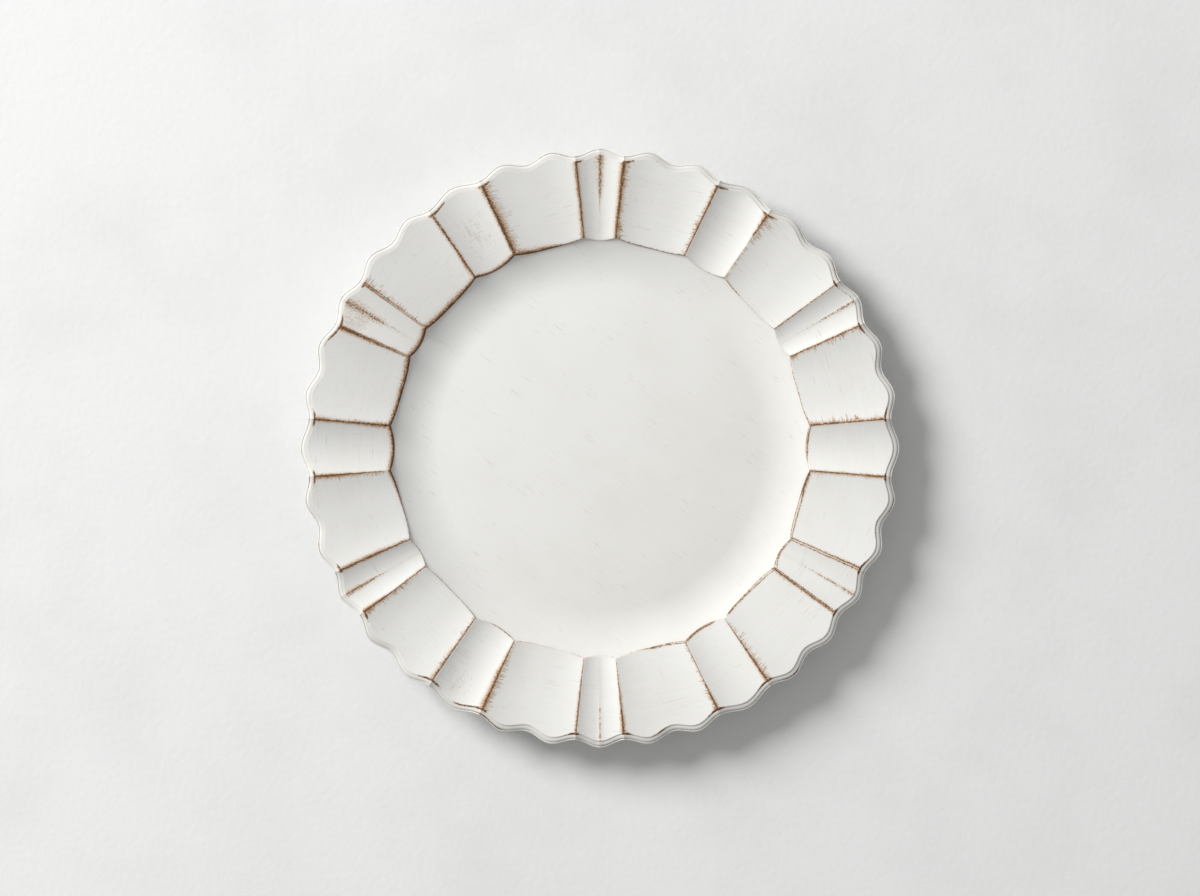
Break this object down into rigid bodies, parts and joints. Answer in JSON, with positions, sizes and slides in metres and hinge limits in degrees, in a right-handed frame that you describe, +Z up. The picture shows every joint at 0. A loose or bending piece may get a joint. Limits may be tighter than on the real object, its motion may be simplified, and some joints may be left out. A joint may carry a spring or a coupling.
{
  "type": "charger plate",
  "caption": "Round scalloped charger plate with a flat well and a raised rim of alternating flutes and wide hollowed panels in distressed off-white paint.",
  "frame": {"origin": "on the plate's axis, in the plane that the pads rest on", "axes": "+Z up out of the well, +Y towards the creased flute at twelve o'clock, +X towards the plain flute at three o'clock"},
  "size_m": [0.33, 0.33, 0.0251],
  "materials": {
    "well_paint": "off-white satin paint with a few thin brush dashes, over brown wood",
    "rim_paint": "off-white dry-brushed paint, worn to brown wood along the ridges",
    "lip_paint": "off-white satin paint, browned in the groove under the bead",
    "felt": "brown felt"
  },
  "bodies": {
    "root": {"well_dish": "well_paint", "backing_ring": "lip_paint", "ribbed_flute_01": "rim_paint", "ribbed_flute_02": "rim_paint", "ribbed_flute_03": "rim_paint", "ribbed_flute_04": "rim_paint", "ribbed_flute_05": "rim_paint", "ribbed_flute_06": "rim_paint", "plain_flute_01": "rim_paint", "plain_flute_02": "rim_paint", "plain_flute_03": "rim_paint", "plain_flute_04": "rim_paint", "plain_flute_05": "rim_paint", "plain_flute_06": "rim_paint", "rim_panel_01": "rim_paint", "rim_panel_02": "rim_paint", "rim_panel_03": "rim_paint", "rim_panel_04": "rim_paint", "rim_panel_05": "rim_paint", "rim_panel_06": "rim_paint", "rim_panel_07": "rim_paint", "rim_panel_08": "rim_paint", "rim_panel_09": "rim_paint", "rim_panel_10": "rim_paint", "rim_panel_11": "rim_paint", "rim_panel_12": "rim_paint", "felt_pad_1": "felt", "felt_pad_2": "felt", "felt_pad_3": "felt", "felt_pad_4": "felt"}
  },
  "joints": []
}
